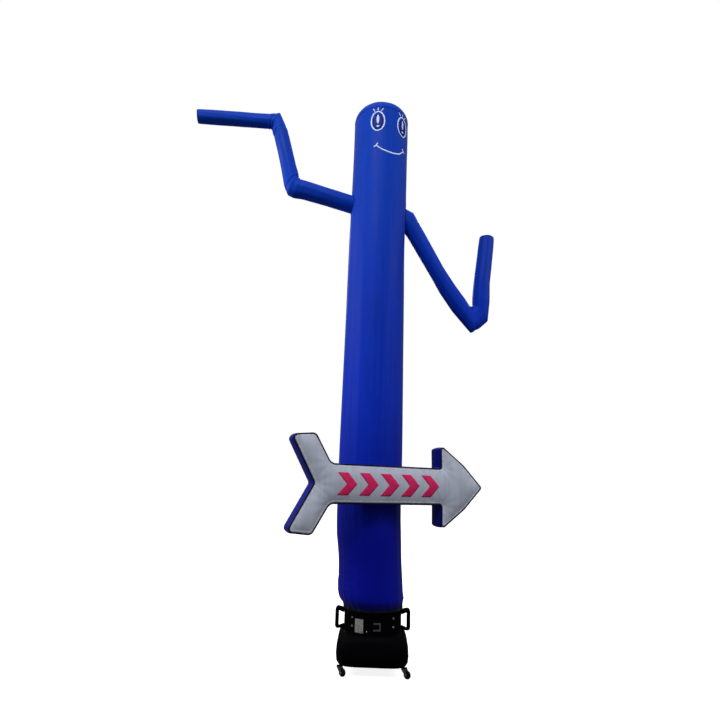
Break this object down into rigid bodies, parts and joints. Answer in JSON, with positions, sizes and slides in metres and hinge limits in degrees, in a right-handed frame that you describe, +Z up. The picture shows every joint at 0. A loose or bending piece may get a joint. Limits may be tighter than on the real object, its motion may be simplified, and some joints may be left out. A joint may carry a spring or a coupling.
{
  "type": "inflatable air dancer on its wheeled blower",
  "caption": "Tall blown-up nylon tube figure with bent arms, a smiling face and an arrow sign, standing on a black blower on swivel casters",
  "frame": {"origin": "on the floor, under the middle of the whole outline", "axes": "+Z up; the face and the arrow sign look along -Y; the arrow points along +X; the blower is turned 22 degrees about Z"},
  "size_m": [2.4878, 0.7912, 4.4426],
  "materials": {
    "nylon_blue": "royal blue coated ripstop nylon, satin",
    "nylon_white": "white coated nylon, satin",
    "black_plastic": "moulded black plastic, fine grain",
    "label_aluminium": "bare brushed label plate",
    "bracket_grey": "grey painted steel strip",
    "steel": "bright zinc plated steel",
    "caster_metal": "zinc plated pressed steel",
    "caster_rubber": "dark grey rubber tread"
  },
  "bodies": {
    "root": {"body_tube": "nylon_blue", "crown_panel": "nylon_blue", "left_arm": "nylon_blue", "left_arm_end": "nylon_blue", "right_arm": "nylon_blue", "right_arm_end": "nylon_blue", "arrow_front": "nylon_white", "arrow_gusset": "nylon_blue", "arrow_back": "nylon_blue", "blower_housing": "black_plastic", "handle_left": "black_plastic", "handle_right": "black_plastic", "label_plate": "label_aluminium", "cable_staple": "bracket_grey", "drum_screw": "steel", "handle_bolt_left_upper": "steel", "handle_bolt_left_lower": "steel", "handle_bolt_right_upper": "steel", "handle_bolt_right_lower": "steel", "caster_plate_front_left": "caster_metal", "caster_plate_front_right": "caster_metal", "caster_plate_back_left": "caster_metal", "caster_plate_back_right": "caster_metal"},
    "fork_front_left": {"caster_fork_front_left": "caster_metal"},
    "wheel_front_left": {"caster_wheel_front_left": "caster_rubber"},
    "fork_front_right": {"caster_fork_front_right": "caster_metal"},
    "wheel_front_right": {"caster_wheel_front_right": "caster_rubber"},
    "fork_back_left": {"caster_fork_back_left": "caster_metal"},
    "wheel_back_left": {"caster_wheel_back_left": "caster_rubber"},
    "fork_back_right": {"caster_fork_back_right": "caster_metal"},
    "wheel_back_right": {"caster_wheel_back_right": "caster_rubber"}
  },
  "joints": [
    {"name": "swivel_front_left", "type": "hinge", "parent": "root", "child": "fork_front_left", "pos_m": [0.03744, -0.12456, 0.055], "axis": [0, 0, 1], "continuous": true},
    {"name": "roll_front_left", "type": "hinge", "parent": "fork_front_left", "child": "wheel_front_left", "pos_m": [0.0487, -0.14575, 0.02469], "axis": [0.8829, 0.4695, 0], "continuous": true},
    {"name": "swivel_front_right", "type": "hinge", "parent": "root", "child": "fork_front_right", "pos_m": [0.42871, -0.28264, 0.055], "axis": [0, 0, 1], "continuous": true},
    {"name": "roll_front_right", "type": "hinge", "parent": "fork_front_right", "child": "wheel_front_right", "pos_m": [0.43998, -0.30383, 0.02469], "axis": [0.8829, 0.4695, 0], "continuous": true},
    {"name": "swivel_back_left", "type": "hinge", "parent": "root", "child": "fork_back_left", "pos_m": [0.17529, 0.21664, 0.055], "axis": [0, 0, 1], "continuous": true},
    {"name": "roll_back_left", "type": "hinge", "parent": "fork_back_left", "child": "wheel_back_left", "pos_m": [0.18656, 0.19545, 0.02469], "axis": [0.8829, 0.4695, 0], "continuous": true},
    {"name": "swivel_back_right", "type": "hinge", "parent": "root", "child": "fork_back_right", "pos_m": [0.56656, 0.05856, 0.055], "axis": [0, 0, 1], "continuous": true},
    {"name": "roll_back_right", "type": "hinge", "parent": "fork_back_right", "child": "wheel_back_right", "pos_m": [0.57783, 0.03737, 0.02469], "axis": [0.8829, 0.4695, 0], "continuous": true}
  ]
}
